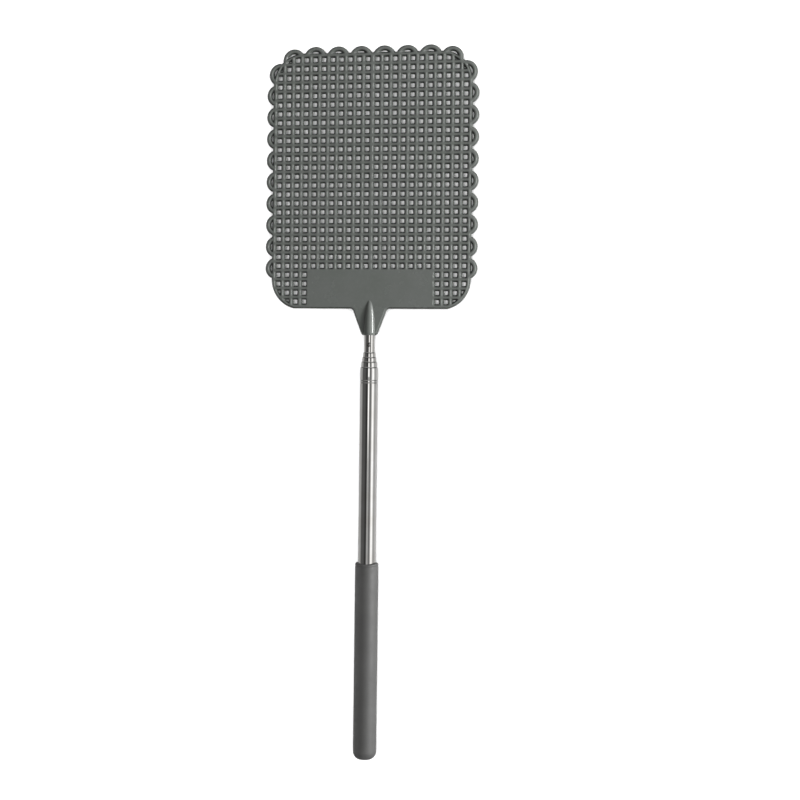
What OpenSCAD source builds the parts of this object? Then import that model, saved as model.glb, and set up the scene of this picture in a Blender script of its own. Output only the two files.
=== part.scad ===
// Telescopic fly swatter, pushed closed and lying on its back.
// Five steel tubes slide and turn in one another. The widest carries a soft grip,
// and the narrowest carries a moulded plastic head with a square grid and a scalloped edge.
// The rod runs along +Y towards the head, the head's front faces +Z, and z = 0 is the surface.
// The origin is on that surface, under the middle of the closed swatter.
// Distances called *_y are measured along the rod from the closed end of the grip.

/* [Head] */
// Distance from one rib of the grid to the next
cell_pitch = 4.14; // [3.90:0.02:4.30]
// Mean thickness of a rib, whose sides are drafted on the real head
rib_w = 1.5; // [0.9:0.05:1.8]
// How much thicker the rib on the centre line is than the others
centre_rib_extra = 0.35; // [0.05:0.05:0.8]
// Columns of cells, half on each side of the centre rib
columns = 22; // [18:2:26]
// Rows of cells
rows = 28; // [20:1:32]
// Mean thickness of the rim round the grid
rim_w = 1.85; // [1.4:0.05:2.2]
// Thickness of the head from front to back
head_t = 2.4; // [1.8:0.1:3.2]
// Outer radius of the two corners far from the grip
far_corner_r = 14.4; // [12:0.2:16]
// Outer radius of the two corners near the grip
near_corner_r = 14; // [12:0.2:15]
// Columns of cells left open on each side of the solid panel
panel_side_columns = 4; // [3:1:6]
// Rows that the solid panel takes up
panel_rows = 4; // [3:1:6]

/* [Scalloped edge] */
// How far the loops stand out from the rim
loop_rise = 3.0; // [2.4:0.1:3.4]
// Mean thickness of a loop
loop_w = 1.35; // [1.0:0.05:1.6]
// Flat stretch of rim between two loops
loop_gap = 0.9; // [0.6:0.1:1.6]
// Loops on each straight side
side_loops = 9; // [7:1:10]
// Loops on the straight part of the far edge
far_loops = 6; // [5:1:7]
// Loops round each far corner
corner_loops = 2; // [2:1:3]

/* [Socket] */
// Distance along the rod to the head's near edge
head_y = 208.3; // [206:0.1:212]
// Length of the tapered tab between the head's near edge and the socket's mouth
tab_len = 12.2; // [10:0.1:14]
// Width of the tab where it leaves the head
tab_root_w = 15.8; // [13:0.1:18]
// Width of the tab at the socket's mouth
tab_mouth_w = 7.1; // [6.6:0.1:9]
// Diameter of the socket's bullet-shaped boss at its mouth
boss_d = 5.8; // [5.6:0.1:6.6]
// Length of the whole bullet, whose tip is sunk in the panel
boss_len = 17.7; // [16:0.1:19]
// How deep the narrowest tube is pressed into the socket
socket_depth = 8.4; // [7:0.1:9]

/* [Rod] */
// Outside diameter of the narrowest tube
inner_tube_d = 4.8; // [4.6:0.05:5.0]
// How much wider each tube is than the one inside it
tube_step = 0.85; // [0.80:0.01:0.92]
// Wall thickness of every tube
tube_wall = 0.25; // [0.22:0.01:0.28]
// How far each tube pulls out of the next
travel = 130; // [100:1:140]
// Distance along the rod to the widest tube's mouth
outer_mouth_y = 181.4; // [178:0.1:184]
// Distance along the rod to the closed end of the widest tube
outer_start_y = 2.0; // [1.6:0.1:2.6]
// Radial clearance where a tube runs through the rolled mouth of the next
mouth_clearance = 0.03; // [0.02:0.01:0.05]
// Length over which a tube's end is rolled in
roll_len = 2.0; // [1.6:0.1:2.4]
// Height of the rolled lip that touches the next tube
lip_len = 0.9; // [0.6:0.1:1.2]
// Thickness of the lip's edge
lip_t = 0.16; // [0.10:0.01:0.20]
// Diameter of the hole drilled across the narrowest tube
cross_hole_d = 2.0; // [1.2:0.1:2.4]
// Distance along the rod to the cross hole
cross_hole_y = 191.7; // [190.6:0.1:193.2]
// Angle that the cross hole is turned about the rod, from straight through the head's plane
cross_hole_turn = 4; // [-15:1:15]

/* [Rolled groove near the widest tube's mouth] */
// Distance along the rod to the middle of the groove
groove_y = 174.65; // [172:0.05:176]
// Distance between the groove's two lines
groove_w = 1.1; // [0.8:0.1:1.6]
// Depth of each line
groove_depth = 0.11; // [0.06:0.01:0.14]
// How much the end of the tube swells between the groove and the mouth
swell = 0.05; // [0.01:0.01:0.10]

/* [Inner pieces] */
// Height of the disc at the lower end of each sliding tube
foot_disc_t = 1.0; // [0.8:0.1:1.2]
// Height of the foot's spigot inside the tube
foot_spigot_t = 1.05; // [0.85:0.05:1.15]
// Diameter of the air hole through a foot
vent_d = 1.0; // [0.6:0.1:1.4]
// Distance along the rod to the top of the end plug, where the sliding tubes rest
plug_top_y = 24.0; // [20:0.1:28]
// Width of the slot that lets a friction sleeve spring
sleeve_slot_w = 1.2; // [0.8:0.1:1.6]

/* [Grip] */
// Outside diameter of the grip
grip_d = 10.8; // [10.2:0.1:12]
// Length of the grip
grip_len = 91.2; // [80:0.1:100]
// Radius of the grip's rounded closed end
grip_end_r = 3.7; // [3.0:0.1:4.2]
// Radius of the grip's open lip
grip_lip_r = 0.45; // [0.2:0.05:0.6]

/* [Hidden] */
$fn = 96;

// The grid, the head and the whole closed swatter
cell_w = cell_pitch - rib_w;
grid_w = columns * cell_pitch - rib_w + centre_rib_extra;
grid_h = rows * cell_pitch - rib_w;
head_w = grid_w + 2 * rim_w;
head_h = grid_h + 2 * rim_w;
overall_len = head_y + head_h + loop_rise;
axis_z = grip_d / 2;
// The near corners' arcs run on a little past the near edge, which cuts them off
near_cut = 0.4;
// A cell cut down to less than this at a corner stays solid
least_cell = 0.7;

// Sliding sections are counted from the narrowest, 1, to the widest sliding one, 4
section_count = 4;
run_gap = 0.1;
sleeve_clearance = 0.02;
sleeve_play = 0.05;
rest_step = foot_disc_t + foot_spigot_t + run_gap;
socket_y = head_y - tab_len;

function tube_r(section) = (inner_tube_d + (section - 1) * tube_step) / 2;
function bore_r(section) = tube_r(section) - tube_wall;
function mouth_r(section) = tube_r(section - 1) + mouth_clearance;
function bottom_y(section) = plug_top_y + run_gap + (section_count - section) * rest_step;
function tube_start_y(section) = bottom_y(section) + foot_disc_t;
// Sections 2 to 4 stand proud of the next mouth by equal steps; section 1 ends in the socket
tip_step = 2.15;
first_step = 2.5;
function tip_y(section) = section == 1
    ? socket_y + socket_depth
    : outer_mouth_y + first_step + (section_count - section) * tip_step;
// Where a friction sleeve comes to a stop in the tube round it
function stop_y(section) = section == section_count
    ? groove_y - groove_w
    : tip_y(section + 1) - roll_len;
function sleeve_start_y(section) = tube_start_y(section) + sleeve_play;
function sleeve_len(section) = stop_y(section) - run_gap - travel - sleeve_start_y(section);

head_grey = [0.38, 0.40, 0.38];
steel = [0.72, 0.72, 0.71];
brass = [0.72, 0.58, 0.30];
bronze = [0.66, 0.44, 0.26];
nylon = [0.86, 0.85, 0.80];
grip_grey = [0.36, 0.36, 0.35];

// Stands what is drawn along +Z on the rod's axis, at a distance along the rod
module on_rod(y) {
    translate([0, y - overall_len / 2, axis_z])
        rotate([-90, 0, 0])
            children();
}

// ---- Head ----

// A rectangle with round corners, standing on y = 0. The near corners are cut by that line.
module rounded_plate(w, h, far_r, near_r) {
    near_centre_y = near_r - near_cut;
    intersection() {
        translate([-w / 2, 0])
            square([w, h]);
        union() {
            translate([-w / 2, near_centre_y])
                square([w, h - near_centre_y - far_r]);
            translate([far_r - w / 2, h / 2])
                square([w - 2 * far_r, h / 2]);
            translate([near_r - w / 2, 0])
                square([w - 2 * near_r, h / 2]);
            for (side = [-1, 1]) {
                translate([side * (w / 2 - far_r), h - far_r])
                    circle(far_r);
                translate([side * (w / 2 - near_r), near_centre_y])
                    circle(near_r);
            }
        }
    }
}

module head_edge() {
    rounded_plate(head_w, head_h, far_corner_r, near_corner_r);
}

module rim_inside() {
    translate([0, rim_w])
        rounded_plate(grid_w, grid_h, far_corner_r - rim_w, near_corner_r - rim_w);
}

function column_x(i) = -grid_w / 2 + i * cell_pitch + (i >= columns / 2 ? centre_rib_extra : 0);
function row_y(j) = rim_w + j * cell_pitch;
function in_panel(i, j) =
    j < panel_rows && i >= panel_side_columns && i < columns - panel_side_columns;

// How far a cell reaches past the rounded corner nearest to it: at its near and far points.
// Both are 0 or less for a cell that is not in a corner.
function corner_r(j) = (j < rows / 2 ? near_corner_r : far_corner_r) - rim_w;
function corner_centre(i, j) = [
    (i < columns / 2 ? -1 : 1) * (grid_w / 2 - corner_r(j)),
    j < rows / 2 ? rim_w + corner_r(j) - near_cut : rim_w + grid_h - corner_r(j)
];
function from_corner(i, j, u, v) =
    let (c = corner_centre(i, j),
         sx = i < columns / 2 ? -1 : 1,
         sy = j < rows / 2 ? -1 : 1,
         dx = sx * (column_x(i) + u * cell_w - c.x),
         dy = sy * (row_y(j) + v * cell_w - c.y))
    (dx > 0 && dy > 0) ? norm([dx, dy]) - corner_r(j) : -corner_r(j);
function reach(i, j) = [for (u = [0, 1], v = [0, 1]) from_corner(i, j, u, v)];

module cell(i, j) {
    translate([column_x(i), row_y(j)])
        square(cell_w);
}

module cells() {
    for (i = [0 : columns - 1], j = [0 : rows - 1]) {
        if (!in_panel(i, j)) {
            over = reach(i, j);
            if (max(over) <= 0)
                cell(i, j);
            else if (min(over) < -least_cell)
                intersection() {
                    cell(i, j);
                    rim_inside();
                }
        }
    }
}

// A loop's place is its middle on the rim, the outward direction there, the rim's own radius,
// 0 where the rim is straight, and the length of rim from one loop to the next
side_low = near_corner_r - near_cut;
side_pitch = (head_h - far_corner_r - side_low) / side_loops;
far_straight = head_w - 2 * far_corner_r;
far_pitch = far_straight / far_loops;
corner_turn = 90 / corner_loops;
corner_pitch = far_corner_r * corner_turn * PI / 180;

function side_place(side, k) =
    [[side * head_w / 2, side_low + (k + 0.5) * side_pitch], side > 0 ? 0 : 180, 0, side_pitch];
function far_place(k) =
    [[(k + 0.5) * far_pitch - far_straight / 2, head_h], 90, 0, far_pitch];
function corner_place(side, k) =
    let (turn = 90 - side * (90 - (k + 0.5) * corner_turn),
         c = [side * far_straight / 2, head_h - far_corner_r])
    [c + far_corner_r * [cos(turn), sin(turn)], turn, far_corner_r, corner_pitch];
loop_places = [
    for (side = [-1, 1], k = [0 : side_loops - 1]) side_place(side, k),
    for (side = [-1, 1], k = [0 : corner_loops - 1]) corner_place(side, k),
    for (k = [0 : far_loops - 1]) far_place(k)
];

// The circle through a loop's crown and its two ends, which lie on a straight or curved rim
function loop_half(p) = (p[3] - loop_gap) / 2;
function end_angle(p) = loop_half(p) / p[2] * 180 / PI;
function end_side(p) = p[2] == 0 ? loop_half(p) : p[2] * sin(end_angle(p));
function end_drop(p) = p[2] == 0 ? 0 : p[2] * (1 - cos(end_angle(p)));
function loop_r(p) =
    let (rise = loop_rise + end_drop(p))
    (pow(end_side(p), 2) + pow(rise, 2)) / (2 * rise);

module loop_discs(inset) {
    for (p = loop_places)
        translate(p[0] + (loop_rise - loop_r(p)) * [cos(p[1]), sin(p[1])])
            circle(loop_r(p) - inset);
}

module loop_openings() {
    difference() {
        loop_discs(loop_w);
        head_edge();
    }
}

module tab() {
    chamfer = 0.7;
    polygon([
        [-tab_root_w / 2, 0.5],
        [-tab_mouth_w / 2, chamfer - tab_len],
        [chamfer - tab_mouth_w / 2, -tab_len],
        [tab_mouth_w / 2 - chamfer, -tab_len],
        [tab_mouth_w / 2, chamfer - tab_len],
        [tab_root_w / 2, 0.5]
    ]);
}

module head_plate() {
    translate([0, head_y - overall_len / 2, axis_z])
        linear_extrude(head_t, center = true)
            difference() {
                union() {
                    head_edge();
                    loop_discs(0);
                    tab();
                }
                cells();
                loop_openings();
            }
}

// The upper half of a long ellipsoid, with its round end towards the far edge
module boss() {
    steps = 14;
    rotate_extrude()
        polygon([
            [0, 0],
            for (i = [0 : steps])
                [boss_d / 2 * cos(90 * i / steps), boss_len * sin(90 * i / steps)]
        ]);
}

module swatter_head() {
    color(head_grey)
        difference() {
            union() {
                head_plate();
                on_rod(socket_y)
                    boss();
            }
            on_rod(socket_y - 1)
                cylinder(h = socket_depth + 1, r = tube_r(1));
        }
}

// ---- Tubes ----

module inner_tube() {
    color(steel)
        difference() {
            on_rod(tube_start_y(1))
                difference() {
                    cylinder(h = tip_y(1) - tube_start_y(1), r = tube_r(1));
                    translate([0, 0, -1])
                        cylinder(h = tip_y(1) - tube_start_y(1) + 2, r = bore_r(1));
                }
            translate([0, cross_hole_y - overall_len / 2, axis_z])
                rotate([0, cross_hole_turn, 0])
                    cylinder(h = 3 * inner_tube_d, d = cross_hole_d, center = true);
        }
}

// A tube whose far end is rolled in until it just clears the tube inside it
module rolled_tube(section) {
    len = tip_y(section) - tube_start_y(section);
    outer = tube_r(section);
    inner = bore_r(section);
    mouth = mouth_r(section);
    on_rod(tube_start_y(section))
        rotate_extrude()
            polygon([
                [inner, 0],
                [outer, 0],
                [outer, len - roll_len],
                [(outer + mouth + tube_wall) / 2, len - lip_len],
                [mouth + lip_t, len],
                [mouth, len],
                [mouth, len - lip_len],
                [inner, len - roll_len]
            ]);
}

module tube_section_2() {
    color(steel)
        rolled_tube(2);
}

module tube_section_3() {
    color(steel)
        rolled_tube(3);
}

module tube_section_4() {
    color(steel)
        rolled_tube(4);
}

// The widest tube has a double-lined groove rolled in below its mouth, which stands out
// inside as a bead. Between the groove and the mouth the tube swells a little.
module outer_tube() {
    len = outer_mouth_y - outer_start_y;
    outer = tube_r(5);
    inner = bore_r(5);
    mouth = mouth_r(5);
    bead = tube_r(4) + 1.5 * mouth_clearance;
    groove = groove_y - outer_start_y;
    line = groove_w / 2;
    color(steel)
        on_rod(outer_start_y)
            rotate_extrude()
                polygon([
                    [inner, 0],
                    [outer, 0],
                    [outer, groove - line - 0.25],
                    [outer - groove_depth, groove - line],
                    [outer - 0.02, groove - line + 0.3],
                    [outer - 0.02, groove + line - 0.3],
                    [outer - groove_depth, groove + line],
                    [outer + swell / 2, groove + line + 0.35],
                    [outer + swell, (groove + len) / 2],
                    [outer, len - roll_len],
                    [(outer + mouth + tube_wall) / 2, len - lip_len],
                    [mouth + lip_t, len],
                    [mouth, len],
                    [mouth, len - lip_len],
                    [inner, len - roll_len],
                    [inner, groove + groove_w],
                    [bead, groove + line],
                    [bead, groove - line],
                    [inner, groove - groove_w]
                ]);
}

// ---- Feet, friction sleeves and plug ----

// A brass foot: a disc that guides the tube's end, and a spigot pressed into the tube
module foot(section) {
    color(brass)
        on_rod(bottom_y(section))
            difference() {
                union() {
                    cylinder(h = foot_disc_t, r = bore_r(section + 1) - sleeve_clearance);
                    cylinder(h = foot_disc_t + foot_spigot_t, r = bore_r(section));
                }
                translate([0, 0, -1])
                    cylinder(h = foot_disc_t + foot_spigot_t + 2, d = vent_d);
            }
}

module foot_1() {
    foot(1);
}

module foot_2() {
    foot(2);
}

module foot_3() {
    foot(3);
}

module foot_4() {
    foot(4);
}

// A split bronze sleeve round the lower end of a tube. It grips the bore of the tube
// outside it, and its end meets that tube's rolled mouth when the rod is pulled out.
module friction_sleeve(section) {
    length = sleeve_len(section);
    inner = tube_r(section) + sleeve_clearance;
    outer = bore_r(section + 1) - sleeve_clearance;
    color(bronze)
        on_rod(sleeve_start_y(section))
            difference() {
                cylinder(h = length, r = outer);
                translate([0, 0, -1])
                    cylinder(h = length + 2, r = inner);
                translate([0, -sleeve_slot_w / 2, -1])
                    cube([2 * outer, sleeve_slot_w, length + 2]);
            }
}

module friction_sleeve_1() {
    friction_sleeve(1);
}

module friction_sleeve_2() {
    friction_sleeve(2);
}

module friction_sleeve_3() {
    friction_sleeve(3);
}

module friction_sleeve_4() {
    friction_sleeve(4);
}

// Pressed into the closed end of the widest tube. The sliding tubes come to rest on it.
module end_plug() {
    chamfer = 0.4;
    length = plug_top_y - outer_start_y;
    radius = bore_r(5);
    color(nylon)
        on_rod(outer_start_y)
            rotate_extrude()
                polygon([
                    [vent_d / 2, 0],
                    [radius - chamfer, 0],
                    [radius, chamfer],
                    [radius, length - chamfer],
                    [radius - chamfer, length],
                    [vent_d / 2, length]
                ]);
}

// ---- Grip ----

module grip_profile() {
    outer = grip_d / 2;
    inner = tube_r(5);
    difference() {
        union() {
            translate([0, grip_end_r])
                square([outer, grip_len - grip_end_r - grip_lip_r]);
            square([outer - grip_end_r, grip_end_r + 1]);
            translate([outer - grip_end_r, grip_end_r])
                circle(grip_end_r);
            translate([0, grip_len - grip_lip_r - 1])
                square([outer - grip_lip_r, grip_lip_r + 1]);
            translate([outer - grip_lip_r, grip_len - grip_lip_r])
                circle(grip_lip_r);
        }
        translate([-1, outer_start_y])
            square([inner + 1, grip_len]);
        translate([-2 * grip_d, -1])
            square([2 * grip_d, grip_len + 2]);
    }
}

module grip() {
    color(grip_grey)
        on_rod(0)
            rotate_extrude()
                grip_profile();
}

swatter_head();
inner_tube();
tube_section_2();
tube_section_3();
tube_section_4();
outer_tube();
foot_1();
foot_2();
foot_3();
foot_4();
friction_sleeve_1();
friction_sleeve_2();
friction_sleeve_3();
friction_sleeve_4();
end_plug();
grip();
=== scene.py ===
"""A telescopic fly swatter, pushed closed and lying on a pale floor, with the front of its head up."""
from collections import namedtuple
from math import asin, atan2, cos, exp, inf, pi, radians, sin, sqrt, tan

import bmesh
import bpy
from mathutils import Euler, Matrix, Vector, noise
from mathutils.geometry import delaunay_2d_cdt


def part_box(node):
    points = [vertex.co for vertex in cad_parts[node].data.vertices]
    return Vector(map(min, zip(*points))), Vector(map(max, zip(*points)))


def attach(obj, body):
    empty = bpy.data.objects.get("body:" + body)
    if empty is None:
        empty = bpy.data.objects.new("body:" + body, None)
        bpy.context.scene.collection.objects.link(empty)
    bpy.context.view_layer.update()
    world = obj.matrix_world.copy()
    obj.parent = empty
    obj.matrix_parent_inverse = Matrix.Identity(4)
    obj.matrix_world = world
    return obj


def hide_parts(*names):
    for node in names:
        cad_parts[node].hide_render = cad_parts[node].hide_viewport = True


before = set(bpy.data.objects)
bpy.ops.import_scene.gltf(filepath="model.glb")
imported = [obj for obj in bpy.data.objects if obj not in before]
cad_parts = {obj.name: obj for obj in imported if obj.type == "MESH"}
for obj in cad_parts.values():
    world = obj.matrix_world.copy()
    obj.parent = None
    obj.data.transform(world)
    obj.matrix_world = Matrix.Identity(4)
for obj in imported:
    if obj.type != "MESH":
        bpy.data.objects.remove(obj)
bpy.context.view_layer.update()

MM = 0.001

# ---- Sizes in metres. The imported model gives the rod's axis and the head's outer lines. ----
HEAD_LOW, HEAD_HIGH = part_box("swatter_head")
AXIS_Z = (HEAD_LOW.z + HEAD_HIGH.z) / 2
LOOP_RISE = 3.0 * MM
TAB_LENGTH = 12.2 * MM
MOUTH_Y = HEAD_LOW.y
NEAR_Y = MOUTH_Y + TAB_LENGTH
FAR_Y = HEAD_HIGH.y - LOOP_RISE
HALF_WIDTH = HEAD_HIGH.x - LOOP_RISE
FAR_CORNER = 14.4 * MM
NEAR_CORNER = 14.0 * MM
# The near corners' arcs run on a little past the near edge, which cuts them off
NEAR_CUT = 0.4 * MM

# The grid: the distance between ribs, and how much thicker the centre rib is
PITCH = 4.14 * MM
CENTRE_EXTRA = 0.35 * MM
COLUMNS = 22
ROWS = 28
PANEL_SIDE_COLUMNS = 4
PANEL_ROWS = 4
GRID_LEFT = -(COLUMNS * PITCH + CENTRE_EXTRA) / 2
GRID_LOW = (NEAR_Y + FAR_Y - ROWS * PITCH) / 2

# Every wall of the head is drafted from the parting plane to the face and rounded there.
# Widths are those at the parting plane.
HEAD_T = 2.4 * MM
SHOULDER = 0.92 * MM
DRAFT = 0.62 * MM
ROUNDING = 0.3 * MM
ROUND_STEPS = 3
RIB_W = 2.35 * MM
RIM_W = 2.3 * MM
CORNER_RIM_W = 2.0 * MM

# The scalloped edge
SIDE_LOOPS = 9
FAR_LOOPS = 6
CORNER_LOOPS = 2
LOOP_GAP = 0.9 * MM
LOOP_W = 2.45 * MM

# The tab and the socket's bullet-shaped boss
TAB_ROOT_HALF = 8.2 * MM
TAB_MOUTH_HALF = 3.85 * MM
TAB_FILLET = 1.6 * MM
TAB_CHAMFER = 0.7 * MM
BOSS_R = 2.9 * MM
BOSS_LENGTH = 17.7 * MM
BOSS_STEPS = 20
SOCKET_DEPTH = 8.4 * MM
SOCKET_R = 2.4 * MM
SOCKET_LIP = 0.14 * MM
# The boss stands this far out of the tab's end, so that their end faces don't share a plane
BOSS_PROUD = 0.02 * MM

# The rod. Its tubes are counted from the narrowest, which is 1, to the widest, which is 5.
TUBES = ["inner_tube", "tube_section_2", "tube_section_3", "tube_section_4", "outer_tube"]
TUBE_BODIES = ["head_section", "section_2", "section_3", "section_4", "handle"]
WALL = 0.25 * MM
TURN_STEPS = 128
# The rolled mouths: each runs in over ROLL_LENGTH, slowly at first and steeply at its lip
ROLL_LENGTH = 2.0 * MM
ROLL_START_POWER = 3
ROLL_END_POWER = 0.6
ROLL_STEPS = 16
LIP_LENGTH = 0.9 * MM
LIP_T = 0.12 * MM
LIP_STEPS = 6
MOUTH_CLEARANCE = 0.03 * MM
# The cross hole in the narrowest tube, which is turned a few degrees about the rod
HOLE_R = 1.0 * MM
HOLE_BEVEL = 0.32 * MM
HOLE_BEVEL_DEPTH = 1.2 * HOLE_BEVEL
HOLE_STEPS = 48
HOLE_FROM_MOUTH = 4.4 * MM
HOLE_TURN = 4
# The double-lined groove and the swelling past it, both on the widest tube
GROOVE_FROM_END = 6.75 * MM
GROOVE_GAP = 1.1 * MM
GROOVE_DEPTH = 0.11 * MM
GROOVE_SPREAD = 0.15 * MM
SWELL = 0.05 * MM

# The grip: its rounded closed end, its lip, the crease below the lip, and its wall between
GRIP_END_R = 3.7 * MM
GRIP_END_FLAT_R = 0.4 * MM
GRIP_END_STEPS = 12
GRIP_LIP_OUT = 0.95 * MM
GRIP_LIP_IN = 0.3 * MM
GRIP_LIP_OUT_STEPS = 8
GRIP_LIP_IN_STEPS = 4
GRIP_CREASE_FROM_LIP = 1.5 * MM
GRIP_CREASE_DEPTH = 0.13 * MM
GRIP_CREASE_SPREAD = 0.22 * MM
GRIP_WALL_STEPS = 40
# How uneven it is: waves in its wall, and how far its lip dips above and below the rod
GRIP_WAVE = 0.05 * MM
GRIP_WAVE_SIZE = 5 * MM
GRIP_WAVE_STRETCH = 3
GRIP_LIP_DIP = 0.65 * MM
GRIP_DIP_REACH = 3 * MM


# ---- Plane shapes ----

# A ray this near to the way that a wall runs counts as never meeting it
NEARLY_ALONG = 1e-9
# The higher, the sharper the corners of the openings
ROUNDNESS = 9
# Where an opening's outline has its points: a square's are near its corners, others' are even
SQUARE_TURNS = [radians(90 * quarter + turn) for quarter in range(4) for turn in (26, 38, 52, 64)]
EVEN_TURNS = [2 * pi * i / 32 for i in range(32)]


def arc(centre, radius, first, last, steps):
    """Points of an arc about centre, from the first turn to the last."""
    turns = [first + (last - first) * i / steps for i in range(steps + 1)]
    return [centre + radius * Vector((cos(turn), sin(turn))) for turn in turns]


def inset(points, depth):
    """A closed outline, drawn anticlockwise, moved inwards by depth all round."""
    moved = []
    for i, point in enumerate(points):
        before = (point - points[i - 1]).normalized()
        after = (points[(i + 1) % len(points)] - point).normalized()
        in_before = Vector((-before.y, before.x))
        in_after = Vector((-after.y, after.x))
        moved.append(point + depth * (in_before + in_after) / (1 + in_before.dot(in_after)))
    return moved


def straight_wall(normal, reach):
    """How far a ray goes before it meets the line where p.normal = reach."""
    def distance(start, way):
        closing = way.dot(normal)
        if closing < NEARLY_ALONG:
            return inf
        return (reach - start.dot(normal)) / closing
    return distance


def round_wall(centre, radius, from_inside):
    """How far a ray goes before it meets a circle, from inside it or from outside it."""
    def distance(start, way):
        away = start - centre
        along = away.dot(way)
        square = along ** 2 - away.dot(away) + radius ** 2
        if square < 0:
            return inf
        reach = -along + sqrt(square) if from_inside else -along - sqrt(square)
        return reach if reach > 0 else inf
    return distance


def hole(start, walls, turns):
    """The outline of an opening between walls, as seen from start, with softly rounded corners."""
    points = []
    for turn in turns:
        way = Vector((cos(turn), sin(turn)))
        closeness = sum((MM / wall(start, way)) ** ROUNDNESS for wall in walls)
        points.append(start + way * MM * closeness ** (-1 / ROUNDNESS))
    return points


# ---- Outline of the head ----

Loop = namedtuple("Loop", "foot out turn radius reach centre rim")
NEAR_CENTRE = Vector((HALF_WIDTH - NEAR_CORNER, NEAR_Y + NEAR_CORNER - NEAR_CUT))
FAR_CENTRE = Vector((HALF_WIDTH - FAR_CORNER, FAR_Y - FAR_CORNER))


def loop_on(foot, turn, pitch, rim=0):
    """A loop whose middle stands on foot. rim is the rim's own radius there, 0 where it is straight."""
    out = Vector((cos(turn), sin(turn)))
    half = (pitch - LOOP_GAP) / 2
    rise = LOOP_RISE
    if rim:
        spread = half / rim
        half = rim * sin(spread)
        rise += rim * (1 - cos(spread))
    radius = (half ** 2 + rise ** 2) / (2 * rise)
    centre = foot + (LOOP_RISE - radius) * out
    return Loop(foot, out, turn, radius, atan2(half, radius - rise), centre, rim)


def right_loops():
    """The loops on the right half of the edge, from the near corner round to the middle."""
    side_pitch = (FAR_CENTRE.y - NEAR_CENTRE.y) / SIDE_LOOPS
    far_pitch = 2 * FAR_CENTRE.x / FAR_LOOPS
    corner_turn = pi / 2 / CORNER_LOOPS
    loops = []
    for k in range(SIDE_LOOPS):
        foot = Vector((HALF_WIDTH, NEAR_CENTRE.y + (k + 0.5) * side_pitch))
        loops.append(loop_on(foot, 0, side_pitch))
    for k in range(CORNER_LOOPS):
        turn = (k + 0.5) * corner_turn
        foot = FAR_CENTRE + FAR_CORNER * Vector((cos(turn), sin(turn)))
        loops.append(loop_on(foot, turn, FAR_CORNER * corner_turn, FAR_CORNER))
    for k in range(FAR_LOOPS // 2):
        foot = Vector((FAR_CENTRE.x - (k + 0.5) * far_pitch, FAR_Y))
        loops.append(loop_on(foot, pi / 2, far_pitch))
    return loops


def tab_side():
    """The tab's right side, from its end up to the fillet on the head's near edge."""
    low = Vector((TAB_MOUTH_HALF, MOUTH_Y + TAB_CHAMFER))
    root = Vector((TAB_ROOT_HALF, NEAR_Y))
    lean = (root - low).angle_signed(Vector((1, 0)))
    back = TAB_FILLET * tan(abs(lean) / 2)
    centre = root + Vector((back, -TAB_FILLET))
    fillet = arc(centre, TAB_FILLET, pi / 2 + abs(lean), pi / 2, 6)
    return [Vector((TAB_MOUTH_HALF - TAB_CHAMFER, MOUTH_Y)), low] + fillet


def is_inside(point, outline):
    """Whether a point lies within a closed outline."""
    crossings = 0
    for start, end in zip(outline, outline[1:] + outline[:1]):
        if (start.y > point.y) != (end.y > point.y):
            across = start.x + (point.y - start.y) / (end.y - start.y) * (end.x - start.x)
            crossings += across > point.x
    return crossings % 2 == 1


def mirrored(points):
    """The same outline on the other side of the rod, still drawn the same way round."""
    return [Vector((-point.x, point.y)) for point in reversed(points)]


def head_outline():
    """The whole outer edge, anticlockwise from the right side of the tab's end."""
    start = -asin((NEAR_CORNER - NEAR_CUT) / NEAR_CORNER)
    right = tab_side() + arc(NEAR_CENTRE, NEAR_CORNER, start, 0, 16)
    for loop in right_loops():
        right += arc(loop.centre, loop.radius, loop.turn - loop.reach, loop.turn + loop.reach, 14)
    return right + mirrored(right)


# ---- Openings of the head. Each gives its outline for a wall that is drawn back by `draft`. ----

def loop_slot(loop, draft):
    """The opening between a loop's strand and the rim that it stands on."""
    strand = round_wall(loop.centre, loop.radius - LOOP_W + draft, True)
    if loop.rim:
        rim_centre = loop.foot - loop.rim * loop.out
        rim = round_wall(rim_centre, loop.rim - draft, False)
    else:
        rim = straight_wall(-loop.out, draft - loop.foot.dot(loop.out))
    start = loop.foot + (LOOP_RISE - LOOP_W) / 2 * loop.out
    return hole(start, [strand, rim], EVEN_TURNS)


def in_panel(column, row):
    return row < PANEL_ROWS and PANEL_SIDE_COLUMNS <= column < COLUMNS - PANEL_SIDE_COLUMNS


def corner_of(centre):
    """The centre and inner radius of the rim's corner that a point lies in, or None."""
    near = centre.y < (NEAR_Y + FAR_Y) / 2
    corner = NEAR_CENTRE if near else FAR_CENTRE
    radius = (NEAR_CORNER if near else FAR_CORNER) - CORNER_RIM_W
    past_x = abs(centre.x) > corner.x
    past_y = centre.y < corner.y if near else centre.y > corner.y
    if not (past_x and past_y):
        return None
    return Vector((corner.x if centre.x > 0 else -corner.x, corner.y)), radius


def middle_inside(left, low, size, centre, radius):
    """The middle of the part of a square that lies within a circle, or None if it's very small."""
    steps = 8
    samples = [Vector((left + size * (u + 0.5) / steps, low + size * (v + 0.5) / steps))
               for u in range(steps) for v in range(steps)]
    inside = [point for point in samples if (point - centre).length < radius]
    if len(inside) < 2:
        return None
    return sum(inside, Vector((0, 0))) / len(inside)


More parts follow.
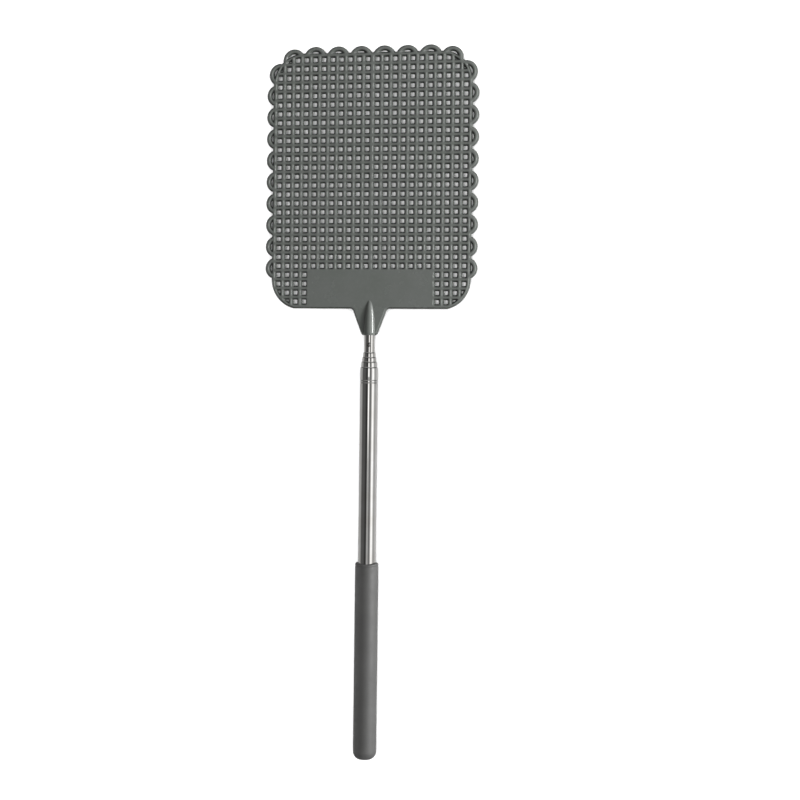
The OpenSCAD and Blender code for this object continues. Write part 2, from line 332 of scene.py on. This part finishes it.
def cell(column, row):
    """The outline of one cell as a function of its draft, or None where the head stays solid."""
    left = GRID_LEFT + column * PITCH + (CENTRE_EXTRA if column >= COLUMNS / 2 else 0) + RIB_W / 2
    low = GRID_LOW + row * PITCH + RIB_W / 2
    size = PITCH - RIB_W
    start = Vector((left + size / 2, low + size / 2))
    corner = corner_of(start)
    if corner:
        start = middle_inside(left, low, size, *corner)
        if start is None:
            return None

    def outline(draft):
        walls = [straight_wall(Vector((1, 0)), left + size + draft),
                 straight_wall(Vector((-1, 0)), draft - left),
                 straight_wall(Vector((0, 1)), low + size + draft),
                 straight_wall(Vector((0, -1)), draft - low)]
        if corner:
            walls.append(round_wall(corner[0], corner[1] + draft, True))
        return hole(start, walls, EVEN_TURNS if corner else SQUARE_TURNS)
    return outline


def head_openings():
    """Every opening, each as a function that gives its outline for a draft."""
    cells = [cell(column, row) for column in range(COLUMNS) for row in range(ROWS)
             if not in_panel(column, row)]
    openings = [outline for outline in cells if outline]
    for loop in right_loops():
        openings.append(lambda draft, loop=loop: loop_slot(loop, draft))
        openings.append(lambda draft, loop=loop: mirrored(loop_slot(loop, draft)))
    return openings


# ---- Meshes ----

class Shell:
    """Points and faces of one piece, built from closed rings of points."""

    def __init__(self):
        self.points = []
        self.faces = []
        self.sharp = set()

    def ring(self, points):
        """Adds points, and gives their numbers."""
        first = len(self.points)
        self.points.extend(points)
        return list(range(first, first + len(points)))

    def band(self, ring_a, ring_b):
        """Joins two rings that have equally many points."""
        count = len(ring_a)
        for i in range(count):
            j = (i + 1) % count
            self.faces.append((ring_a[i], ring_a[j], ring_b[j], ring_b[i]))

    def sharpen(self, ring):
        for i, point in enumerate(ring):
            self.sharp.add(frozenset((point, ring[(i + 1) % len(ring)])))

    def fill(self, rings):
        """Fills the flat area between an outer ring, which comes first, and its openings' rings.

        The triangulation covers the openings too. Its faces there have all of their corners on
        one opening's ring and lie inside that ring, so they are left out.
        """
        index = [point for ring in rings for point in ring]
        owner = [number for number, ring in enumerate(rings) for _ in ring]
        outlines = [[Vector(self.points[point][:2]) for point in ring] for ring in rings]
        flat = [point for outline in outlines for point in outline]
        edges = []
        first = 0
        for ring in rings:
            edges += [(first + i, first + (i + 1) % len(ring)) for i in range(len(ring))]
            first += len(ring)
        found = delaunay_2d_cdt(flat, edges, [], 1, 1e-9)
        back = [sources[0] for sources in found[3]]
        for face in found[2]:
            corners = [back[corner] for corner in face]
            owners = {owner[corner] for corner in corners}
            middle = sum((flat[corner] for corner in corners), Vector((0, 0))) / len(corners)
            if len(owners) > 1 or owners == {0} or not is_inside(middle, outlines[owners.pop()]):
                self.faces.append(tuple(index[corner] for corner in corners))

    def piece(self, name):
        """Makes the object, smooth but for its sharpened edges."""
        mesh = bpy.data.meshes.new(name)
        mesh.from_pydata([tuple(point) for point in self.points], [], self.faces)
        work = bmesh.new()
        work.from_mesh(mesh)
        bmesh.ops.recalc_face_normals(work, faces=work.faces)
        for face in work.faces:
            face.smooth = True
        for edge in work.edges:
            if frozenset(vert.index for vert in edge.verts) in self.sharp:
                edge.smooth = False
        work.to_mesh(mesh)
        work.free()
        made = bpy.data.objects.new(name, mesh)
        bpy.context.scene.collection.objects.link(made)
        return made


def soften(piece, degrees=None):
    """Shades flat faces flat and round ones round, with edges over so many degrees kept sharp."""
    if degrees:
        piece.data.set_sharp_from_angle(angle=radians(degrees))
    weighted = piece.modifiers.new("face_weighted_normals", "WEIGHTED_NORMAL")
    weighted.keep_sharp = True
    weighted.weight = 80


def add_turned(shell, profile, closed=False):
    """Adds a surface turned about the rod's axis from (place along Y, radius) points.

    A closed profile comes back to its start. The ends of an open one are capped.
    """
    turns = [2 * pi * i / TURN_STEPS for i in range(TURN_STEPS)]
    rings = []
    for y, radius in profile:
        points = [Vector((radius * sin(turn), y, AXIS_Z + radius * cos(turn))) for turn in turns]
        rings.append(shell.ring(points))
    for first, second in zip(rings, rings[1:]):
        shell.band(first, second)
    if closed:
        shell.band(rings[-1], rings[0])
    else:
        shell.faces += [tuple(rings[0]), tuple(rings[-1])]


def wall_levels():
    """(height over the parting plane, how far walls are drawn back) from the back to the front."""
    front = []
    for step in range(ROUND_STEPS + 1):
        turn = pi / 2 * step / ROUND_STEPS
        rise = SHOULDER + (HEAD_T / 2 - SHOULDER) * sin(turn)
        front.append((rise, DRAFT + ROUNDING * (1 - cos(turn))))
    return [(-rise, draft) for rise, draft in reversed(front)] + [(0, 0)] + front


def add_plate(shell):
    """The grid, its rim and loops, the panel and the tab, all in one drafted plate."""
    outline = head_outline()
    contours = [lambda draft: inset(outline, draft)] + head_openings()
    levels = wall_levels()
    backs, fronts = [], []
    for contour in contours:
        rings = [shell.ring([Vector((*point, AXIS_Z + rise)) for point in contour(draft)])
                 for rise, draft in levels]
        for low, high in zip(rings, rings[1:]):
            shell.band(low, high)
        shell.sharpen(rings[len(levels) // 2])
        backs.append(rings[0])
        fronts.append(rings[-1])
    shell.fill(backs)
    shell.fill(fronts)


def add_boss(shell):
    """The bullet round the socket, with its tip sunk in the panel and its bore open at the mouth."""
    end = MOUTH_Y - BOSS_PROUD
    profile = [(MOUTH_Y + SOCKET_DEPTH, SOCKET_R), (MOUTH_Y + SOCKET_LIP, SOCKET_R),
               (end, SOCKET_R + SOCKET_LIP), (end, BOSS_R - 1.4 * SOCKET_LIP),
               (MOUTH_Y + SOCKET_LIP / 2, BOSS_R - SOCKET_LIP / 2)]
    for step in range(1, BOSS_STEPS):
        turn = pi / 2 * step / BOSS_STEPS
        profile.append((MOUTH_Y + BOSS_LENGTH * sin(turn), BOSS_R * cos(turn)))
    add_turned(shell, profile)


def make_head():
    shell = Shell()
    add_plate(shell)
    add_boss(shell)
    head = shell.piece("swatter_head_moulding")
    soften(head)
    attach(head, "head_section")
    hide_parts("swatter_head")
    return head


# ---- Tubes and grip ----

def half_width(node):
    low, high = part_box(node)
    return (high.x - low.x) / 2


def tube_r(number):
    """A tube's outer radius. The tubes grow in even steps, and the widest is the outer tube."""
    step = (half_width("tube_section_4") - half_width("inner_tube")) / 3
    return half_width("inner_tube") + (number - 1) * step


def rolled_mouth(end, outer, mouth):
    """A tube's far end, from its straight wall over the rolled lip and back into the bore."""
    edge = LIP_T / 2
    crown = mouth + LIP_T
    profile = []
    for step in range(ROLL_STEPS + 1):
        part = step / ROLL_STEPS
        y = end - edge - (ROLL_LENGTH - edge) * (1 - part)
        profile.append((y, crown + (outer - crown) * (1 - part ** ROLL_START_POWER) ** ROLL_END_POWER))
    for step in range(1, LIP_STEPS + 1):
        turn = pi * step / LIP_STEPS
        profile.append((end - edge + edge * sin(turn), mouth + edge + edge * cos(turn)))
    return profile + [(end - LIP_LENGTH, mouth), (end - ROLL_LENGTH, outer - WALL)]


def groove_and_swell(start, end, outer):
    """The widest tube's wall along the double-lined groove and the swelling past it."""
    middle = end - GROOVE_FROM_END
    lines = (middle - GROOVE_GAP / 2, middle + GROOVE_GAP / 2)
    swell_start = lines[1] + 2 * GROOVE_SPREAD
    swell_end = end - ROLL_LENGTH
    fine_step = GROOVE_SPREAD / 3
    coarse_step = 3 * GROOVE_SPREAD / 2
    step = fine_step
    y = lines[0] - 4 * GROOVE_SPREAD
    profile = [(start, outer)]
    while y < swell_end - step:
        dips = [exp(-((y - line) / GROOVE_SPREAD) ** 2) for line in lines]
        radius = outer - GROOVE_DEPTH * sum(dips)
        if y > swell_start:
            radius += SWELL * sin(pi * (y - swell_start) / (swell_end - swell_start))
            step = coarse_step
        profile.append((y, radius))
        y += step
    return profile


def make_drill_bit(radius):
    """The shape of the cross hole: straight in the middle, and widening through the tube's wall."""
    narrow = HOLE_R - HOLE_BEVEL
    start = radius - HOLE_BEVEL_DEPTH
    wide = 3 * HOLE_R
    turns = [2 * pi * i / HOLE_STEPS for i in range(HOLE_STEPS)]
    bit = Shell()
    rings = []
    for height, size in ((-2 * radius, wide), (-start, narrow), (start, narrow), (2 * radius, wide)):
        points = [Vector((size * cos(turn), size * sin(turn), height)) for turn in turns]
        rings.append(bit.ring(points))
    for first, second in zip(rings, rings[1:]):
        bit.band(first, second)
    bit.faces += [tuple(rings[0]), tuple(rings[-1])]
    return bit.piece("drill_bit")


def drill(tube, y):
    """Cuts a round hole straight across the narrowest tube, with both of its edges bevelled."""
    drill_bit = make_drill_bit(half_width("inner_tube"))
    drill_bit.location = (0, y, AXIS_Z)
    drill_bit.rotation_euler = (0, radians(HOLE_TURN), 0)
    cut = tube.modifiers.new("drill", "BOOLEAN")
    cut.solver = "EXACT"
    cut.object = drill_bit
    bpy.context.view_layer.update()
    drilled = tube.evaluated_get(bpy.context.evaluated_depsgraph_get())
    tube.data = bpy.data.meshes.new_from_object(drilled)
    tube.modifiers.clear()
    bpy.data.objects.remove(drill_bit)


def make_tube(number):
    node = TUBES[number - 1]
    low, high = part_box(node)
    outer = tube_r(number)
    profile = [(low.y, outer - WALL), (low.y, outer)]
    if number == len(TUBES):
        profile[1:] = groove_and_swell(low.y, high.y, outer)
    if number == 1:
        profile += [(high.y, outer), (high.y, outer - WALL)]
    else:
        profile += rolled_mouth(high.y, outer, tube_r(number - 1) + MOUTH_CLEARANCE)
    shell = Shell()
    add_turned(shell, profile, closed=True)
    tube = shell.piece(f"steel_tube_{number}")
    if number == 1:
        drill(tube, MOUTH_Y - HOLE_FROM_MOUTH)
    soften(tube, degrees=40)
    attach(tube, TUBE_BODIES[number - 1])
    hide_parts(node)
    return tube


def grip_profile(low, high):
    """The grip from its closed end, along its outside, over its lip and down its bore."""
    outer = AXIS_Z
    bore = tube_r(len(TUBES))
    profile = [(low.y, GRIP_END_FLAT_R)]
    for step in range(GRIP_END_STEPS + 1):
        turn = pi / 2 * step / GRIP_END_STEPS
        profile.append((low.y + GRIP_END_R * (1 - cos(turn)), outer - GRIP_END_R * (1 - sin(turn))))
    wall_start = low.y + GRIP_END_R
    crease = high.y - GRIP_CREASE_FROM_LIP
    wall_step = (crease - 3 * GRIP_CREASE_SPREAD - wall_start) / GRIP_WALL_STEPS
    profile += [(wall_start + wall_step * i, outer) for i in range(1, GRIP_WALL_STEPS + 1)]
    for step in range(-5, 3):
        away = step / 2
        dip = GRIP_CREASE_DEPTH * exp(-away ** 2)
        profile.append((crease + away * GRIP_CREASE_SPREAD, outer - dip))
    lip_start = high.y - GRIP_LIP_OUT
    crown = bore + GRIP_LIP_IN
    for step in range(GRIP_LIP_OUT_STEPS + 1):
        turn = pi / 2 * step / GRIP_LIP_OUT_STEPS
        profile.append((lip_start + GRIP_LIP_OUT * sin(turn), crown + (outer - crown) * cos(turn)))
    for step in range(1, GRIP_LIP_IN_STEPS + 1):
        turn = pi / 2 * step / GRIP_LIP_IN_STEPS
        profile.append((high.y - GRIP_LIP_IN * (1 - cos(turn)), crown - GRIP_LIP_IN * sin(turn)))
    return profile + [(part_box("outer_tube")[0].y, bore)]


def make_grip():
    low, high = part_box("grip")
    outside = tube_r(len(TUBES)) + GRIP_LIP_IN / 2
    shell = Shell()
    add_turned(shell, grip_profile(low, high))
    for point in shell.points:
        away = Vector((point.x, 0, point.z - AXIS_Z))
        if away.length > outside:
            place = Vector((away.x, point.y / GRIP_WAVE_STRETCH, away.z)) / GRIP_WAVE_SIZE
            wave = 0.5 + 0.5 * noise.noise(place)
            point -= away.normalized() * GRIP_WAVE * wave
        near_lip = max(0, 1 - (high.y - point.y) / GRIP_DIP_REACH)
        above_or_below = (away.z / away.length) ** 2
        point.y -= near_lip * GRIP_LIP_DIP * above_or_below
    grip = shell.piece("soft_grip")
    soften(grip, degrees=50)
    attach(grip, "handle")
    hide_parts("grip")
    return grip


# ---- Materials ----

class Graph:
    """A node tree, with short ways to add the nodes that materials and the world share."""

    def __init__(self, tree):
        self.nodes = tree.nodes
        self.links = tree.links

    def ranged(self, value, low, high, to_low, to_high):
        """A value moved from one range to another, and kept within it."""
        node = self.nodes.new("ShaderNodeMapRange")
        node.inputs["From Min"].default_value = low
        node.inputs["From Max"].default_value = high
        node.inputs["To Min"].default_value = to_low
        node.inputs["To Max"].default_value = to_high
        self.links.new(value, node.inputs["Value"])
        return node.outputs["Result"]

    def maths(self, operation, first, second=0.0):
        node = self.nodes.new("ShaderNodeMath")
        node.operation = operation
        self.links.new(first, node.inputs[0])
        if isinstance(second, (int, float)):
            node.inputs[1].default_value = second
        else:
            self.links.new(second, node.inputs[1])
        return node.outputs["Value"]

    def mixed(self, amount, first, second):
        """The first colour where amount is 0 and the second where it is 1."""
        node = self.nodes.new("ShaderNodeMix")
        node.data_type = "RGBA"
        for socket, color in ((node.inputs[6], first), (node.inputs[7], second)):
            if isinstance(color, tuple):
                socket.default_value = (*color, 1)
            else:
                self.links.new(color, socket)
        self.links.new(amount, node.inputs[0])
        return node.outputs[2]

    def scaled(self, color, amount):
        node = self.nodes.new("ShaderNodeVectorMath")
        node.operation = "SCALE"
        self.links.new(color, node.inputs[0])
        self.links.new(amount, node.inputs["Scale"])
        return node.outputs["Vector"]


class Finish(Graph):
    """A node material. Its colour and roughness hold until something is fed in for them."""

    def __init__(self, name, color, roughness, metallic=0.0):
        self.material = bpy.data.materials.new(name)
        self.material.use_nodes = True
        super().__init__(self.material.node_tree)
        self.shader = self.nodes["Principled BSDF"]
        self.shader.inputs["Base Color"].default_value = (*color, 1)
        self.shader.inputs["Roughness"].default_value = roughness
        self.shader.inputs["Metallic"].default_value = metallic
        self.place = self.nodes.new("ShaderNodeTexCoord").outputs["Object"]

    def stretched(self, scale):
        mapping = self.nodes.new("ShaderNodeMapping")
        mapping.inputs["Scale"].default_value = scale
        self.links.new(self.place, mapping.inputs["Vector"])
        return mapping.outputs["Vector"]

    def noise(self, size, detail=3.0, stretch=(1, 1, 1), roughness=0.55):
        """A noise whose features are about size across, longer where stretch is over 1."""
        texture = self.nodes.new("ShaderNodeTexNoise")
        texture.inputs["Scale"].default_value = 1.0
        texture.inputs["Detail"].default_value = detail
        texture.inputs["Roughness"].default_value = roughness
        scale = tuple(1 / (size * s) for s in stretch)
        self.links.new(self.stretched(scale), texture.inputs["Vector"])
        return texture.outputs["Fac"]

    def axis(self, name):
        split = self.nodes.new("ShaderNodeSeparateXYZ")
        self.links.new(self.place, split.inputs["Vector"])
        return split.outputs[name]

    def bump(self, *layers):
        """Each layer is (height from 0 to 1, how high 1 is in metres)."""
        before = None
        for height, depth in layers:
            node = self.nodes.new("ShaderNodeBump")
            node.inputs["Distance"].default_value = depth
            node.inputs["Strength"].default_value = 1.0
            self.links.new(height, node.inputs["Height"])
            if before:
                self.links.new(before, node.inputs["Normal"])
            before = node.outputs["Normal"]
        self.links.new(before, self.shader.inputs["Normal"])

    def feed(self, socket, value):
        self.links.new(value, self.shader.inputs[socket])


def dress(finish, *objects):
    """Gives objects a finish in place of the material that they have."""
    for thing in objects:
        thing.data.materials.clear()
        thing.data.materials.append(finish.material)


def head_plastic():
    """Satin moulded plastic, a little greenish, with painted shade darkening the flanks of its
    ribs, and scuffed paler on their faces."""
    finish = Finish("moulded_head_plastic", (0.12, 0.127, 0.12), 0.3)
    finish.shader.inputs["Specular IOR Level"].default_value = 0.32
    clouds = finish.ranged(finish.noise(14 * MM), 0.35, 0.65, 0, 1)
    body = finish.mixed(clouds, (0.118, 0.128, 0.118), (0.129, 0.137, 0.130))
    height = finish.maths("ABSOLUTE", finish.maths("SUBTRACT", finish.axis("Z"), AXIS_Z))
    on_face = finish.ranged(height, HEAD_T / 2 - 0.15 * MM, HEAD_T / 2, 0, 1)
    # Painted shade: below the faces, the rib flanks get a darker colour that stands in for the shade in
    # the recesses between the ribs. The plastic itself is not darker there.
    painted_shade_on_flank = finish.ranged(height, SHOULDER, HEAD_T / 2 - 0.05 * MM, 1, 0)
    body = finish.mixed(painted_shade_on_flank, body, (0.075, 0.081, 0.075))
    worn = finish.maths("MULTIPLY", on_face, finish.ranged(finish.noise(1.6 * MM, 5), 0.5, 0.75, 0, 0.3))
    finish.feed("Base Color", finish.mixed(worn, body, (0.155, 0.16, 0.153)))
    rough = finish.ranged(finish.noise(5 * MM, 4), 0.3, 0.7, 0.19, 0.3)
    on_boss = finish.ranged(height, HEAD_T / 2, HEAD_T / 2 + 0.3 * MM, 1, 0.8)
    finish.feed("Roughness", finish.maths("MULTIPLY", rough, on_boss))
    finish.bump((finish.noise(0.35 * MM, 2), 0.003 * MM), (finish.noise(6 * MM, 2), 0.03 * MM))
    return finish


def polished_steel():
    """Drawn and polished tube, with faint lines along it and the marks of handling."""
    finish = Finish("polished_tube_steel", (0.62, 0.61, 0.59), 0.1, 1.0)
    lines = finish.noise(0.12 * MM, 3, (1, 90, 1))
    smears = finish.ranged(finish.noise(7 * MM, 4, (1, 3, 1)), 0.45, 0.7, 0, 1)
    tone = finish.ranged(finish.noise(10 * MM, 3), 0.3, 0.7, 0, 1)
    finish.feed("Base Color", finish.mixed(tone, (0.60, 0.585, 0.56), (0.67, 0.665, 0.655)))
    rough = finish.maths("ADD", finish.ranged(lines, 0.3, 0.7, 0.02, 0.05),
                         finish.maths("MULTIPLY", smears, 0.04))
    finish.feed("Roughness", rough)
    finish.bump((lines, 0.0006 * MM), (finish.noise(9 * MM, 1, (1, 2, 1)), 0.01 * MM))
    return finish


def grip_vinyl():
    """Soft dip-moulded vinyl, matte, with a fine grain and a little lint on it."""
    finish = Finish("grip_soft_vinyl", (0.085, 0.085, 0.083), 0.55)
    clouds = finish.ranged(finish.noise(18 * MM, 3), 0.35, 0.65, 0, 1)
    body = finish.mixed(clouds, (0.080, 0.080, 0.078), (0.092, 0.092, 0.09))
    lint = finish.ranged(finish.noise(0.5 * MM, 3, (1, 2.5, 1)), 0.68, 0.78, 0, 0.5)
    finish.feed("Base Color", finish.mixed(lint, body, (0.15, 0.15, 0.145)))
    finish.feed("Roughness", finish.ranged(finish.noise(2.5 * MM, 4), 0.3, 0.7, 0.48, 0.64))
    finish.bump((finish.noise(0.22 * MM, 3), 0.008 * MM), (finish.noise(9 * MM, 2), 0.06 * MM))
    return finish


def turned_metal(name, dark, light, size):
    """Turned or rolled metal that nobody polishes: fine rings and a dull bloom."""
    finish = Finish(name, dark, 0.3, 1.0)
    rings = finish.noise(0.08 * MM, 2, (60, 1, 60))
    bloom = finish.ranged(finish.noise(size, 4), 0.35, 0.65, 0, 1)
    finish.feed("Base Color", finish.mixed(bloom, dark, light))
    finish.feed("Roughness", finish.ranged(finish.noise(size / 2, 3), 0.3, 0.7, 0.22, 0.42))
    finish.bump((rings, 0.004 * MM))
    return finish


def foot_brass():
    return turned_metal("turned_foot_brass", (0.62, 0.45, 0.20), (0.74, 0.58, 0.30), 1.2 * MM)


def sleeve_bronze():
    return turned_metal("sleeve_spring_bronze", (0.50, 0.28, 0.14), (0.62, 0.38, 0.20), 2 * MM)


def plug_nylon():
    """Natural nylon, a little uneven in tone."""
    finish = Finish("natural_plug_nylon", (0.78, 0.77, 0.71), 0.45)
    finish.shader.inputs["Subsurface Weight"].default_value = 0.15
    finish.shader.inputs["Subsurface Scale"].default_value = 0.002
    tone = finish.ranged(finish.noise(3 * MM, 3), 0.3, 0.7, 0, 1)
    finish.feed("Base Color", finish.mixed(tone, (0.74, 0.73, 0.66), (0.81, 0.80, 0.75)))
    finish.feed("Roughness", finish.ranged(finish.noise(1 * MM, 3), 0.3, 0.7, 0.38, 0.52))
    finish.bump((finish.noise(0.3 * MM, 2), 0.006 * MM))
    return finish


# ---- Floor, lights and camera ----

FLOOR_HALF = 3.0


def make_floor():
    """A plain pale floor that the swatter lies on. The tubes reflect the studio in place of it."""
    mesh = bpy.data.meshes.new("floor")
    corners = [(-FLOOR_HALF, -FLOOR_HALF, 0), (FLOOR_HALF, -FLOOR_HALF, 0),
               (FLOOR_HALF, FLOOR_HALF, 0), (-FLOOR_HALF, FLOOR_HALF, 0)]
    mesh.from_pydata(corners, [], [(0, 1, 2, 3)])
    floor = bpy.data.objects.new("floor", mesh)
    bpy.context.scene.collection.objects.link(floor)
    finish = Finish("pale_floor", (0.9, 0.9, 0.9), 0.9)
    finish.shader.inputs["Specular IOR Level"].default_value = 0.0
    dress(finish, floor)
    floor.visible_glossy = False
    return floor


def lamp_from(light, place, aim):
    """Puts a light at a place in the scene, facing a point."""
    lamp = bpy.data.objects.new(light.name, light)
    lamp.location = place
    lamp.rotation_euler = (Vector(aim) - Vector(place)).to_track_quat("-Z", "Y").to_euler()
    bpy.context.scene.collection.objects.link(lamp)
    return lamp


def area_light(name, place, aim, size, power):
    """An oblong light. Its size is (along the rod, across it)."""
    light = bpy.data.lights.new(name, "AREA")
    light.shape = "RECTANGLE"
    light.size, light.size_y = size
    light.energy = power
    return lamp_from(light, place, aim)


def broad_sun(name, place, degrees, strength):
    """Light from all of a disc of sky that many degrees across, round the way from 0 to place."""
    light = bpy.data.lights.new(name, "SUN")
    light.angle = radians(degrees)
    light.energy = strength
    return lamp_from(light, place, (0, 0, 0))


def keep_for(lamp, things):
    """Lets a lamp light some things only."""
    group = bpy.data.collections.new(lamp.name + "_receivers")
    for thing in things:
        group.objects.link(thing)
    lamp.light_linking.receiver_collection = group
    return group


def keep_off(lamp, things):
    """Lets a lamp light everything but some things."""
    for member in keep_for(lamp, things).collection_objects:
        member.light_linking.link_state = "EXCLUDE"


# The studio as the rod reflects it: strips of light and dark that run beside the rod. Each stop is
# (turn about the rod in degrees from straight up, positive to the right; brightness).
STUDIO = [(-180, 0.56), (-90, 0.5), (-72, 0.12), (-38, 0.12), (-12, 0.03), (-6, 0.05),
          (2, 0.5), (16, 0.56), (28, 0.16), (40, 0.3), (50, 0.75), (57, 1.5), (72, 1.65),
          (80, 1.0), (90, 0.6), (104, 0.42), (124, 0.7), (180, 0.56)]
# A window's strip, added to those. It ends as the reflection's way turns from the head to the grip,
# between these values of the way's Y.
WINDOW = [(-180, 0), (0, 0), (5, 1.3), (13, 1.3), (19, 0), (180, 0)]
WINDOW_END = (-0.05, -0.02)
# The strips darken by this much as the way leans along the rod, over this range of its Y
STRIPS_DARKEN = (0.2, 0.45)
DARKENED = 0.07
# Past this range of Y come the studio's ends, which brighten from the floor up over this range of
# Z, and show the strips more weakly
ENDS_BEGIN = (0.5, 0.65)
ENDS_HEIGHT = (-0.3, 0.9)
ENDS_BRIGHTNESS = (0.25, 1.3)
ENDS_LEAST_STRIP = 0.3
# What everything but glossy reflections gets from all round
STUDIO_AMBIENT = 0.17


def strip_ramp(graph, place, strips):
    """A ramp of greys along the turn about the rod, which place gives from 0 to 1."""
    ramp = graph.nodes.new("ShaderNodeValToRGB")
    graph.links.new(place, ramp.inputs["Fac"])
    stops = ramp.color_ramp.elements
    for stop, (_, brightness) in zip(stops, (strips[0], strips[-1])):
        stop.color = (brightness, brightness, brightness, 1)
    for degrees, brightness in strips[1:-1]:
        stops.new((degrees + 180) / 360).color = (brightness, brightness, brightness, 1)
    return ramp.outputs["Color"]


def studio_beside(graph, way, strips, place):
    """The strips and the window, darker as the way leans along the rod."""
    window = strip_ramp(graph, place, WINDOW)
    window_end = graph.ranged(way["Y"], *WINDOW_END, 0, 1)
    both = graph.nodes.new("ShaderNodeVectorMath")
    both.operation = "ADD"
    graph.links.new(strips, both.inputs[0])
    graph.links.new(graph.scaled(window, window_end), both.inputs[1])
    along = graph.maths("ABSOLUTE", way["Y"])
    return graph.scaled(both.outputs["Vector"], graph.ranged(along, *STRIPS_DARKEN, 1, DARKENED))


def studio_view(graph, way):
    """The studio's brightness for the way that a reflection goes."""
    turn = graph.maths("ARCTAN2", way["X"], way["Z"])
    place = graph.ranged(turn, -pi, pi, 0, 1)
    strips = strip_ramp(graph, place, STUDIO)
    height = graph.ranged(way["Z"], *ENDS_HEIGHT, *ENDS_BRIGHTNESS)
    ends = graph.scaled(graph.ranged(strips, 0, 1, ENDS_LEAST_STRIP, 1), height)
    along = graph.maths("ABSOLUTE", way["Y"])
    at_ends = graph.ranged(along, *ENDS_BEGIN, 0, 1)
    return graph.mixed(at_ends, studio_beside(graph, way, strips, place), ends)


def make_studio():
    """White to the camera; to glossy surfaces, long strips of light and dark beside the rod."""
    world = bpy.data.worlds.new("studio")
    bpy.context.scene.world = world
    world.use_nodes = True
    graph = Graph(world.node_tree)
    split = graph.nodes.new("ShaderNodeSeparateXYZ")
    graph.links.new(graph.nodes.new("ShaderNodeTexCoord").outputs["Generated"], split.inputs["Vector"])
    rays = graph.nodes.new("ShaderNodeLightPath").outputs
    ambient = (STUDIO_AMBIENT, STUDIO_AMBIENT, STUDIO_AMBIENT)
    lit = graph.mixed(rays["Is Glossy Ray"], ambient, studio_view(graph, split.outputs))
    seen = graph.mixed(rays["Is Camera Ray"], lit, (1, 1, 1))
    graph.links.new(seen, graph.nodes["Background"].inputs["Color"])


def make_floor_lights(floor):
    """A broad light, and one small enough to shine through the grid in slots."""
    keep_for(broad_sun("floor_sky", place=(0.25, 0.02, 1), degrees=55, strength=4.4), [floor])
    small = area_light("floor_small", place=(0.08, -0.05, 1.2), aim=(0, 0, 0),
                       size=(0.12, 0.12), power=3.5)
    keep_for(small, [floor])


def make_head_lights(others):
    """A low key from the right, which draws the edges of the ribs, and a higher and softer one."""
    low = area_light("key", place=(1.034, 0.15, 0.376), aim=(0, 0.15, 0), size=(0.5, 0.24), power=18.5)
    keep_off(low, others)
    soft = area_light("soft_key", place=(0.78, 0.1, 0.78), aim=(0, 0.1, 0), size=(1.0, 1.0), power=7.5)
    keep_off(soft, others)


def make_grip_lights(grip):
    """A key from the right and a weak fill from the left."""
    key = area_light("grip_key", place=(1.046, 0.05, 0.34), aim=(0, 0, 0), size=(0.3, 1.2), power=22)
    keep_for(key, [grip])
    fill = area_light("grip_fill", place=(-1.0, 0, 0.3), aim=(0, 0, 0), size=(0.6, 1.2), power=4)
    keep_for(fill, [grip])


def make_lights(floor, tubes, grip):
    """Each part has lights of its own, but for the tubes, which the studio's strips alone light."""
    make_floor_lights(floor)
    make_head_lights([floor, grip, *tubes])
    make_grip_lights(grip)


# The camera looks down on the front of the head, leaning a little to the right of straight down.
# Leans and roll are in degrees, and the aim is from the middle of the rod, in the picture's plane.
CAMERA_DISTANCE = 0.8
CAMERA_LEAN_RIGHT = 10.34
CAMERA_LEAN_FAR = 0.71
CAMERA_ROLL = 0.83
CAMERA_AIM = (14.45 * MM, 1.5 * MM)
FOCAL_LENGTH = 78.0
SENSOR_WIDTH = 36
CLIP_START = 0.01


def make_camera():
    facing = Euler((radians(CAMERA_LEAN_FAR), -radians(CAMERA_LEAN_RIGHT), -radians(CAMERA_ROLL)))
    facing = facing.to_matrix().transposed()
    data = bpy.data.cameras.new("camera")
    data.sensor_width = SENSOR_WIDTH
    data.lens = FOCAL_LENGTH
    data.clip_start = CLIP_START
    camera = bpy.data.objects.new("camera", data)
    camera.location = Vector((0, 0, AXIS_Z)) + facing @ Vector((*CAMERA_AIM, CAMERA_DISTANCE))
    camera.rotation_euler = facing.to_euler()
    bpy.context.scene.collection.objects.link(camera)
    bpy.context.scene.camera = camera


# ---- The whole scene ----

def numbered(name):
    """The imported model's pieces of that name, from 1 to 4, which keep their shapes."""
    return [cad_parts[f"{name}_{number}"] for number in range(1, len(TUBES))]


tubes = [make_tube(number) for number in range(1, len(TUBES) + 1)]
head = make_head()
grip = make_grip()
dress(head_plastic(), head)
dress(polished_steel(), *tubes)
dress(grip_vinyl(), grip)
dress(foot_brass(), *numbered("foot"))
dress(sleeve_bronze(), *numbered("friction_sleeve"))
dress(plug_nylon(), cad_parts["end_plug"])
make_lights(make_floor(), tubes, grip)
make_studio()
make_camera()
bpy.context.scene.view_settings.view_transform = "Standard"
